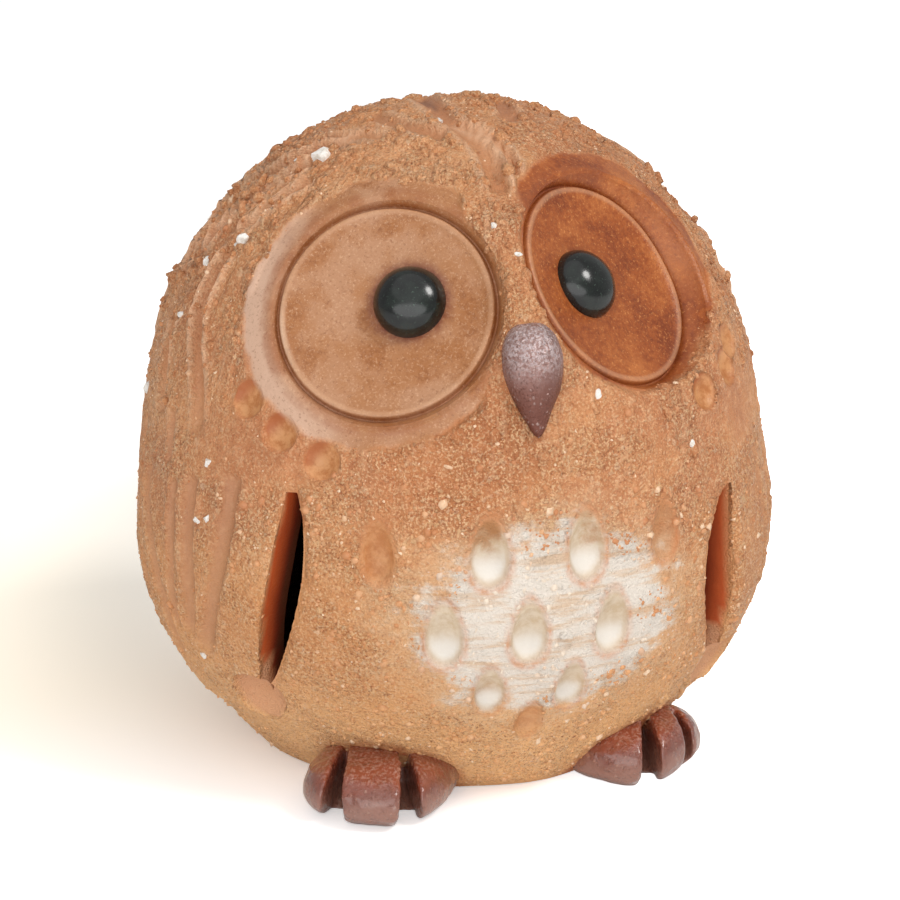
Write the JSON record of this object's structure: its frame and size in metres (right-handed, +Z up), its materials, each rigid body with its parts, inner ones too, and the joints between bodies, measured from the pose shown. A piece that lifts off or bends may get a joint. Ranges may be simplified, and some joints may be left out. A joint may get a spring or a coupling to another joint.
{
  "type": "owl figurine",
  "caption": "Hollow stoneware owl ornament, egg-shaped, with stamped eye discs, black bead eyes, a teardrop beak, cut wings, breast dimples and glazed toed feet.",
  "frame": {"origin": "centre of the bounding box at its bottom, on the plane that the owl stands on, under the middle of its round base", "axes": "+Z up, the owl looks along -Y, +X to its own left"},
  "size_m": [0.1188, 0.1164, 0.12],
  "materials": {
    "coarse_clay": "rough unglazed stoneware, burnished round the eyes, white slip on the breast",
    "black_glaze": "glossy black",
    "beak_glaze": "metallic purple-brown satin",
    "foot_glaze": "glossy iron brown"
  },
  "bodies": {
    "root": {"body_shell": "coarse_clay", "right_eye_bead": "black_glaze", "left_eye_bead": "black_glaze", "beak": "beak_glaze", "right_foot": "foot_glaze", "left_foot": "foot_glaze"}
  },
  "joints": []
}
